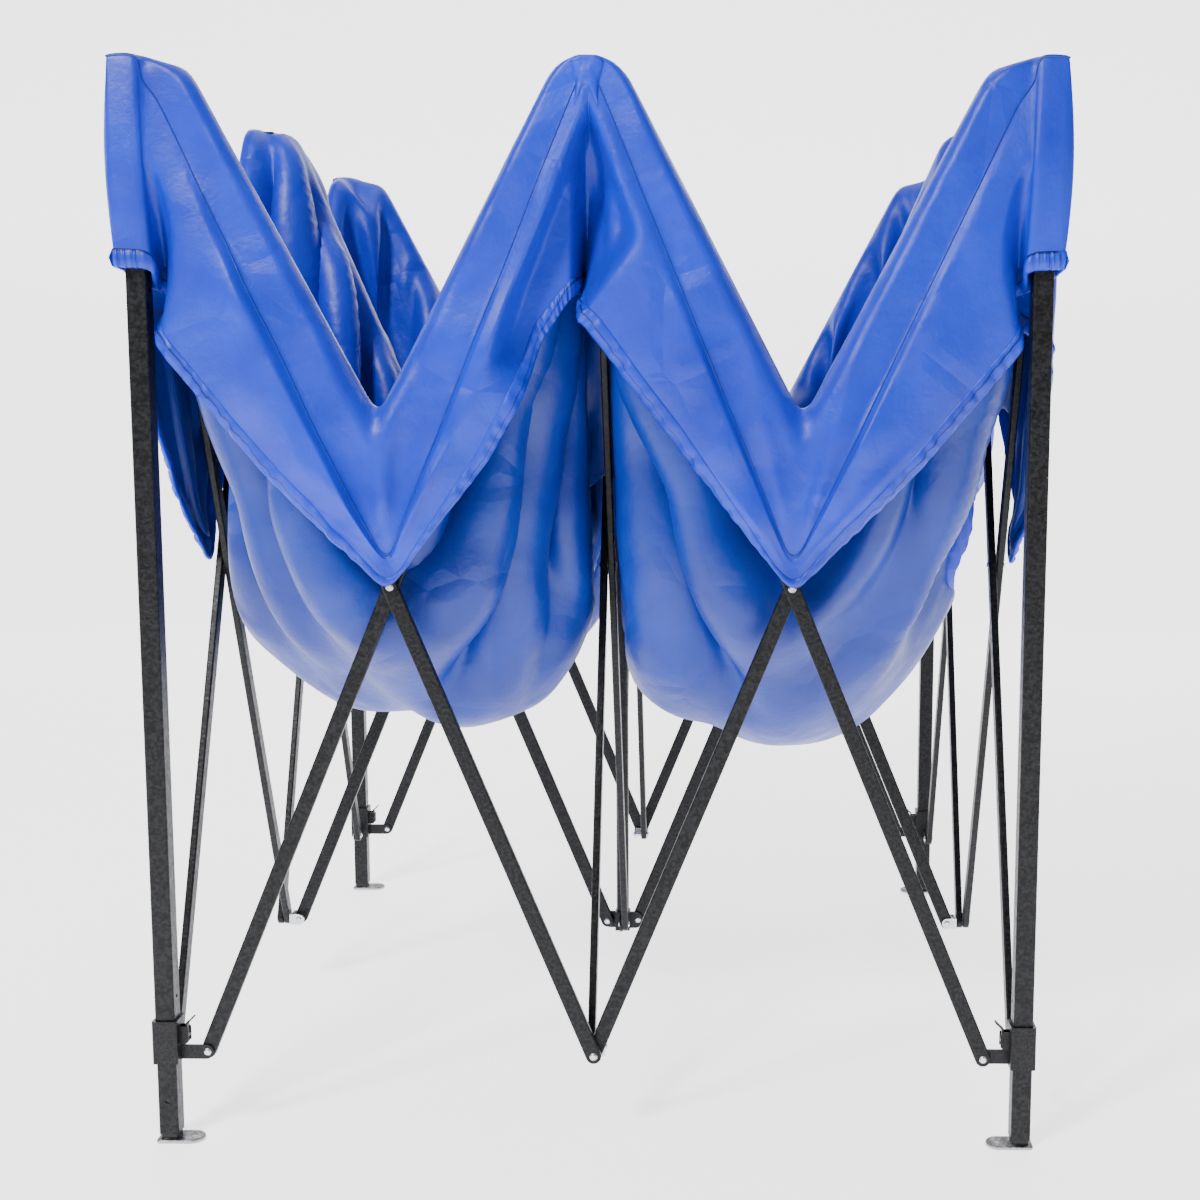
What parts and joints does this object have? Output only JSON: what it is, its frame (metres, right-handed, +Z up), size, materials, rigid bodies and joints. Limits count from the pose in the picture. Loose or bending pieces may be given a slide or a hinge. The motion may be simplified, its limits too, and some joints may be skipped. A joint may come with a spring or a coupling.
{
  "type": "pop up canopy",
  "caption": "Square pop up canopy with a scissor-truss frame on telescopic legs and a coated cloth cover, half folded.",
  "frame": {"origin": "on the floor, under the middle of the frame as it stands half folded", "axes": "+Z up; -Y is the front; +X is the front's right"},
  "size_m": [1.2768, 1.2768, 1.5195],
  "materials": {
    "frame_coat": "black hammered powder coat",
    "bracket_coat": "black powder coat, satin",
    "zinc_plate": "bright zinc plate",
    "cover_cloth": "coated woven polyester, semi gloss"
  },
  "bodies": {
    "front_left_inner": {"front_left_inner_leg": "frame_coat"},
    "front_left_leg": {"front_left_outer_leg": "frame_coat", "front_left_top_bracket": "bracket_coat", "cover": "cover_cloth"},
    "front_left_slider": {"front_left_slider": "bracket_coat"},
    "front_left_latch": {"front_left_latch": "bracket_coat"},
    "front_right_inner": {"front_right_inner_leg": "frame_coat"},
    "front_right_leg": {"front_right_outer_leg": "frame_coat", "front_right_top_bracket": "bracket_coat"},
    "front_right_slider": {"front_right_slider": "bracket_coat"},
    "front_right_latch": {"front_right_latch": "bracket_coat"},
    "back_right_inner": {"back_right_inner_leg": "frame_coat"},
    "back_right_leg": {"back_right_outer_leg": "frame_coat", "back_right_top_bracket": "bracket_coat"},
    "back_right_slider": {"back_right_slider": "bracket_coat"},
    "back_right_latch": {"back_right_latch": "bracket_coat"},
    "back_left_inner": {"back_left_inner_leg": "frame_coat"},
    "back_left_leg": {"back_left_outer_leg": "frame_coat", "back_left_top_bracket": "bracket_coat"},
    "back_left_slider": {"back_left_slider": "bracket_coat"},
    "back_left_latch": {"back_left_latch": "bracket_coat"},
    "front_left_hanger": {"front_left_hanger_bar": "frame_coat"},
    "front_left_riser": {"front_left_riser_bar": "frame_coat"},
    "front_right_riser": {"front_right_riser_bar": "frame_coat"},
    "front_right_hanger": {"front_right_hanger_bar": "frame_coat"},
    "front_truss_hanger": {"front_truss_hanger_bar": "frame_coat"},
    "front_truss_riser": {"front_truss_riser_bar": "frame_coat"},
    "front_middle_top": {"front_middle_top_bracket": "bracket_coat"},
    "front_middle_lower": {"front_middle_lower_bracket": "zinc_plate"},
    "right_left_hanger": {"right_left_hanger_bar": "frame_coat"},
    "right_left_riser": {"right_left_riser_bar": "frame_coat"},
    "right_right_riser": {"right_right_riser_bar": "frame_coat"},
    "right_right_hanger": {"right_right_hanger_bar": "frame_coat"},
    "right_truss_hanger": {"right_truss_hanger_bar": "frame_coat"},
    "right_truss_riser": {"right_truss_riser_bar": "frame_coat"},
    "right_middle_top": {"right_middle_top_bracket": "bracket_coat"},
    "right_middle_lower": {"right_middle_lower_bracket": "zinc_plate"},
    "back_left_hanger": {"back_left_hanger_bar": "frame_coat"},
    "back_left_riser": {"back_left_riser_bar": "frame_coat"},
    "back_right_riser": {"back_right_riser_bar": "frame_coat"},
    "back_right_hanger": {"back_right_hanger_bar": "frame_coat"},
    "back_truss_hanger": {"back_truss_hanger_bar": "frame_coat"},
    "back_truss_riser": {"back_truss_riser_bar": "frame_coat"},
    "back_middle_top": {"back_middle_top_bracket": "bracket_coat"},
    "back_middle_lower": {"back_middle_lower_bracket": "zinc_plate"},
    "left_left_hanger": {"left_left_hanger_bar": "frame_coat"},
    "left_left_riser": {"left_left_riser_bar": "frame_coat"},
    "left_right_riser": {"left_right_riser_bar": "frame_coat"},
    "left_right_hanger": {"left_right_hanger_bar": "frame_coat"},
    "left_truss_hanger": {"left_truss_hanger_bar": "frame_coat"},
    "left_truss_riser": {"left_truss_riser_bar": "frame_coat"},
    "left_middle_top": {"left_middle_top_bracket": "bracket_coat"},
    "left_middle_lower": {"left_middle_lower_bracket": "zinc_plate"},
    "centre_lower": {"centre_lower_hub": "bracket_coat", "centre_pole": "frame_coat"},
    "centre_top": {"centre_top_hub": "bracket_coat"}
  },
  "joints": [
    {"name": "leg_extension", "type": "slide", "parent": "front_left_inner", "child": "front_left_leg", "axis": [0, 0, 1], "range_m": [0, 0.6]},
    {"name": "front_right_leg_extension", "type": "slide", "parent": "front_right_leg", "child": "front_right_inner", "axis": [0, 0, -1], "range_m": [0, 0.6]},
    {"name": "back_right_leg_extension", "type": "slide", "parent": "back_right_leg", "child": "back_right_inner", "axis": [0, 0, -1], "range_m": [0, 0.6]},
    {"name": "back_left_leg_extension", "type": "slide", "parent": "back_left_leg", "child": "back_left_inner", "axis": [0, 0, -1], "range_m": [0, 0.6]},
    {"name": "canopy_fold", "type": "hinge", "parent": "front_left_leg", "child": "front_left_hanger", "pos_m": [-0.55636, -0.61836, 1.48184], "axis": [0, -1, 0], "range_deg": [-18.4, 56.1], "deforming": ["cover"]},
    {"name": "front_left_crossing", "type": "hinge", "parent": "front_left_hanger", "child": "front_left_riser", "pos_m": [-0.27818, -0.61236, 0.80692], "axis": [0, 1, 0], "range_deg": [-37.3, 112.7]},
    {"name": "front_left_riser_top", "type": "hinge", "parent": "front_left_riser", "child": "front_middle_top", "pos_m": [0, -0.60636, 1.48184], "axis": [0, -1, 0], "range_deg": [-18.9, 56.6]},
    {"name": "front_right_riser_top", "type": "hinge", "parent": "front_middle_top", "child": "front_right_riser", "pos_m": [0, -0.61836, 1.48184], "axis": [0, -1, 0], "range_deg": [-18.9, 56.6]},
    {"name": "front_right_crossing", "type": "hinge", "parent": "front_right_riser", "child": "front_right_hanger", "pos_m": [0.27818, -0.61236, 0.80692], "axis": [0, 1, 0], "range_deg": [-37.3, 112.7]},
    {"name": "front_right_hanger_top", "type": "hinge", "parent": "front_right_hanger", "child": "front_right_leg", "pos_m": [0.55636, -0.60636, 1.48184], "axis": [0, -1, 0], "range_deg": [-18.9, 56.6]},
    {"name": "right_left_hanger_top", "type": "hinge", "parent": "front_right_leg", "child": "right_left_hanger", "pos_m": [0.61836, -0.55636, 1.48184], "axis": [1, 0, 0], "range_deg": [-18.9, 56.6]},
    {"name": "right_left_crossing", "type": "hinge", "parent": "right_left_hanger", "child": "right_left_riser", "pos_m": [0.61236, -0.27818, 0.80692], "axis": [-1, 0, 0], "range_deg": [-37.3, 112.7]},
    {"name": "right_left_riser_top", "type": "hinge", "parent": "right_left_riser", "child": "right_middle_top", "pos_m": [0.60636, 0, 1.48184], "axis": [1, 0, 0], "range_deg": [-18.9, 56.6]},
    {"name": "right_right_riser_top", "type": "hinge", "parent": "right_middle_top", "child": "right_right_riser", "pos_m": [0.61836, 0, 1.48184], "axis": [1, 0, 0], "range_deg": [-18.9, 56.6]},
    {"name": "right_right_crossing", "type": "hinge", "parent": "right_right_riser", "child": "right_right_hanger", "pos_m": [0.61236, 0.27818, 0.80692], "axis": [-1, 0, 0], "range_deg": [-37.3, 112.7]},
    {"name": "right_right_hanger_top", "type": "hinge", "parent": "right_right_hanger", "child": "back_right_leg", "pos_m": [0.60636, 0.55636, 1.48184], "axis": [1, 0, 0], "range_deg": [-18.9, 56.6]},
    {"name": "left_right_hanger_top", "type": "hinge", "parent": "front_left_leg", "child": "left_right_hanger", "pos_m": [-0.60636, -0.55636, 1.48184], "axis": [1, 0, 0], "range_deg": [-18.9, 56.6]},
    {"name": "left_right_crossing", "type": "hinge", "parent": "left_right_hanger", "child": "left_right_riser", "pos_m": [-0.61236, -0.27818, 0.80692], "axis": [-1, 0, 0], "range_deg": [-37.3, 112.7]},
    {"name": "left_right_riser_top", "type": "hinge", "parent": "left_right_riser", "child": "left_middle_top", "pos_m": [-0.61836, 0, 1.48184], "axis": [1, 0, 0], "range_deg": [-18.9, 56.6]},
    {"name": "left_left_riser_top", "type": "hinge", "parent": "left_middle_top", "child": "left_left_riser", "pos_m": [-0.60636, 0, 1.48184], "axis": [1, 0, 0], "range_deg": [-18.9, 56.6]},
    {"name": "left_left_crossing", "type": "hinge", "parent": "left_left_riser", "child": "left_left_hanger", "pos_m": [-0.61236, 0.27818, 0.80692], "axis": [-1, 0, 0], "range_deg": [-37.3, 112.7]},
    {"name": "left_left_hanger_top", "type": "hinge", "parent": "left_left_hanger", "child": "back_left_leg", "pos_m": [-0.61836, 0.55636, 1.48184], "axis": [1, 0, 0], "range_deg": [-18.9, 56.6]},
    {"name": "back_right_hanger_top", "type": "hinge", "parent": "back_left_leg", "child": "back_right_hanger", "pos_m": [-0.55636, 0.60636, 1.48184], "axis": [0, -1, 0], "range_deg": [-18.9, 56.6]},
    {"name": "back_right_crossing", "type": "hinge", "parent": "back_right_hanger", "child": "back_right_riser", "pos_m": [-0.27818, 0.61236, 0.80692], "axis": [0, 1, 0], "range_deg": [-37.3, 112.7]},
    {"name": "back_right_riser_top", "type": "hinge", "parent": "back_right_riser", "child": "back_middle_top", "pos_m": [0, 0.61836, 1.48184], "axis": [0, -1, 0], "range_deg": [-18.9, 56.6]},
    {"name": "back_left_hanger_top", "type": "hinge", "parent": "back_right_leg", "child": "back_left_hanger", "pos_m": [0.55636, 0.61836, 1.48184], "axis": [0, 1, 0], "range_deg": [-18.9, 56.6]},
    {"name": "back_left_crossing", "type": "hinge", "parent": "back_left_hanger", "child": "back_left_riser", "pos_m": [0.27818, 0.61236, 0.80692], "axis": [0, -1, 0], "range_deg": [-37.3, 112.7]},
    {"name": "front_left_slider_pivot", "type": "hinge", "parent": "front_left_riser", "child": "front_left_slider", "pos_m": [-0.55636, -0.60636, 0.132], "axis": [0, -1, 0], "range_deg": [-18.9, 56.6]},
    {"name": "front_middle_lower_pivot", "type": "hinge", "parent": "front_left_hanger", "child": "front_middle_lower", "pos_m": [0, -0.61836, 0.132], "axis": [0, 1, 0], "range_deg": [-18.9, 56.6]},
    {"name": "front_truss_hanger_top", "type": "hinge", "parent": "front_middle_top", "child": "front_truss_hanger", "pos_m": [0.006, -0.58336, 1.48184], "axis": [1, 0, 0], "range_deg": [-18.9, 56.6]},
    {"name": "front_truss_crossing", "type": "hinge", "parent": "front_truss_hanger", "child": "front_truss_riser", "pos_m": [0, -0.30518, 0.80692], "axis": [-1, 0, 0], "range_deg": [-37.3, 112.7]},
    {"name": "centre_lower_pivot", "type": "hinge", "parent": "front_truss_hanger", "child": "centre_lower", "pos_m": [0.006, -0.027, 0.132], "axis": [-1, 0, 0], "range_deg": [-18.9, 56.6]},
    {"name": "centre_top_pivot", "type": "hinge", "parent": "front_truss_riser", "child": "centre_top", "pos_m": [-0.006, -0.027, 1.48184], "axis": [1, 0, 0], "range_deg": [-18.9, 56.6]},
    {"name": "front_left_latch_pivot", "type": "hinge", "parent": "front_left_slider", "child": "front_left_latch", "pos_m": [-0.58536, -0.61236, 0.157], "axis": [0, -1, 0], "range_deg": [0, 15], "stiffness_Nm_per_rad": 0.4, "springref_deg": -5.73},
    {"name": "front_right_slider_pivot", "type": "hinge", "parent": "right_left_riser", "child": "front_right_slider", "pos_m": [0.60636, -0.55636, 0.132], "axis": [1, 0, 0], "range_deg": [-18.9, 56.6]},
    {"name": "right_middle_lower_pivot", "type": "hinge", "parent": "right_left_hanger", "child": "right_middle_lower", "pos_m": [0.61836, 0, 0.132], "axis": [-1, 0, 0], "range_deg": [-18.9, 56.6]},
    {"name": "right_truss_hanger_top", "type": "hinge", "parent": "right_middle_top", "child": "right_truss_hanger", "pos_m": [0.58336, 0.006, 1.48184], "axis": [0, 1, 0], "range_deg": [-18.9, 56.6]},
    {"name": "right_truss_crossing", "type": "hinge", "parent": "right_truss_hanger", "child": "right_truss_riser", "pos_m": [0.30518, 0, 0.80692], "axis": [0, -1, 0], "range_deg": [-37.3, 112.7]},
    {"name": "front_right_latch_pivot", "type": "hinge", "parent": "front_right_slider", "child": "front_right_latch", "pos_m": [0.58536, -0.61236, 0.157], "axis": [0, 1, 0], "range_deg": [0, 15], "stiffness_Nm_per_rad": 0.4, "springref_deg": -5.73},
    {"name": "back_right_slider_pivot", "type": "hinge", "parent": "back_left_riser", "child": "back_right_slider", "pos_m": [0.55636, 0.60636, 0.132], "axis": [0, 1, 0], "range_deg": [-18.9, 56.6]},
    {"name": "back_middle_lower_pivot", "type": "hinge", "parent": "back_left_hanger", "child": "back_middle_lower", "pos_m": [0, 0.61836, 0.132], "axis": [0, -1, 0], "range_deg": [-18.9, 56.6]},
    {"name": "back_truss_hanger_top", "type": "hinge", "parent": "back_middle_top", "child": "back_truss_hanger", "pos_m": [-0.006, 0.58336, 1.48184], "axis": [-1, 0, 0], "range_deg": [-18.9, 56.6]},
    {"name": "back_truss_crossing", "type": "hinge", "parent": "back_truss_hanger", "child": "back_truss_riser", "pos_m": [0, 0.30518, 0.80692], "axis": [1, 0, 0], "range_deg": [-37.3, 112.7]},
    {"name": "back_right_latch_pivot", "type": "hinge", "parent": "back_right_slider", "child": "back_right_latch", "pos_m": [0.58536, 0.61236, 0.157], "axis": [0, 1, 0], "range_deg": [0, 15], "stiffness_Nm_per_rad": 0.4, "springref_deg": -5.73},
    {"name": "back_left_slider_pivot", "type": "hinge", "parent": "left_left_riser", "child": "back_left_slider", "pos_m": [-0.60636, 0.55636, 0.132], "axis": [-1, 0, 0], "range_deg": [-18.9, 56.6]},
    {"name": "left_middle_lower_pivot", "type": "hinge", "parent": "left_left_hanger", "child": "left_middle_lower", "pos_m": [-0.61836, 0, 0.132], "axis": [1, 0, 0], "range_deg": [-18.9, 56.6]},
    {"name": "left_truss_hanger_top", "type": "hinge", "parent": "left_middle_top", "child": "left_truss_hanger", "pos_m": [-0.58336, -0.006, 1.48184], "axis": [0, -1, 0], "range_deg": [-18.9, 56.6]},
    {"name": "left_truss_crossing", "type": "hinge", "parent": "left_truss_hanger", "child": "left_truss_riser", "pos_m": [-0.30518, 0, 0.80692], "axis": [0, 1, 0], "range_deg": [-37.3, 112.7]},
    {"name": "back_left_latch_pivot", "type": "hinge", "parent": "back_left_slider", "child": "back_left_latch", "pos_m": [-0.58536, 0.61236, 0.157], "axis": [0, -1, 0], "range_deg": [0, 15], "stiffness_Nm_per_rad": 0.4, "springref_deg": -5.73}
  ],
  "couplings": [
    {"joint": "front_right_leg_extension", "follows": "leg_extension", "ratio": 1},
    {"joint": "back_right_leg_extension", "follows": "leg_extension", "ratio": 1},
    {"joint": "back_left_leg_extension", "follows": "leg_extension", "ratio": 1},
    {"joint": "front_left_crossing", "follows": "canopy_fold", "ratio": 2},
    {"joint": "front_left_riser_top", "follows": "canopy_fold", "ratio": 1},
    {"joint": "front_right_riser_top", "follows": "canopy_fold", "ratio": 1},
    {"joint": "front_right_crossing", "follows": "canopy_fold", "ratio": 2},
    {"joint": "front_right_hanger_top", "follows": "canopy_fold", "ratio": 1},
    {"joint": "right_left_hanger_top", "follows": "canopy_fold", "ratio": 1},
    {"joint": "right_left_crossing", "follows": "canopy_fold", "ratio": 2},
    {"joint": "right_left_riser_top", "follows": "canopy_fold", "ratio": 1},
    {"joint": "right_right_riser_top", "follows": "canopy_fold", "ratio": 1},
    {"joint": "right_right_crossing", "follows": "canopy_fold", "ratio": 2},
    {"joint": "right_right_hanger_top", "follows": "canopy_fold", "ratio": 1},
    {"joint": "left_right_hanger_top", "follows": "canopy_fold", "ratio": 1},
    {"joint": "left_right_crossing", "follows": "canopy_fold", "ratio": 2},
    {"joint": "left_right_riser_top", "follows": "canopy_fold", "ratio": 1},
    {"joint": "left_left_riser_top", "follows": "canopy_fold", "ratio": 1},
    {"joint": "left_left_crossing", "follows": "canopy_fold", "ratio": 2},
    {"joint": "left_left_hanger_top", "follows": "canopy_fold", "ratio": 1},
    {"joint": "back_right_hanger_top", "follows": "canopy_fold", "ratio": 1},
    {"joint": "back_right_crossing", "follows": "canopy_fold", "ratio": 2},
    {"joint": "back_right_riser_top", "follows": "canopy_fold", "ratio": 1},
    {"joint": "back_left_hanger_top", "follows": "canopy_fold", "ratio": 1},
    {"joint": "back_left_crossing", "follows": "canopy_fold", "ratio": 2},
    {"joint": "front_left_slider_pivot", "follows": "canopy_fold", "ratio": 1},
    {"joint": "front_middle_lower_pivot", "follows": "canopy_fold", "ratio": 1},
    {"joint": "front_truss_hanger_top", "follows": "canopy_fold", "ratio": 1},
    {"joint": "front_truss_crossing", "follows": "canopy_fold", "ratio": 2},
    {"joint": "centre_lower_pivot", "follows": "canopy_fold", "ratio": 1},
    {"joint": "centre_top_pivot", "follows": "canopy_fold", "ratio": 1},
    {"joint": "front_right_slider_pivot", "follows": "canopy_fold", "ratio": 1},
    {"joint": "right_middle_lower_pivot", "follows": "canopy_fold", "ratio": 1},
    {"joint": "right_truss_hanger_top", "follows": "canopy_fold", "ratio": 1},
    {"joint": "right_truss_crossing", "follows": "canopy_fold", "ratio": 2},
    {"joint": "back_right_slider_pivot", "follows": "canopy_fold", "ratio": 1},
    {"joint": "back_middle_lower_pivot", "follows": "canopy_fold", "ratio": 1},
    {"joint": "back_truss_hanger_top", "follows": "canopy_fold", "ratio": 1},
    {"joint": "back_truss_crossing", "follows": "canopy_fold", "ratio": 2},
    {"joint": "back_left_slider_pivot", "follows": "canopy_fold", "ratio": 1},
    {"joint": "left_middle_lower_pivot", "follows": "canopy_fold", "ratio": 1},
    {"joint": "left_truss_hanger_top", "follows": "canopy_fold", "ratio": 1},
    {"joint": "left_truss_crossing", "follows": "canopy_fold", "ratio": 2}
  ]
}
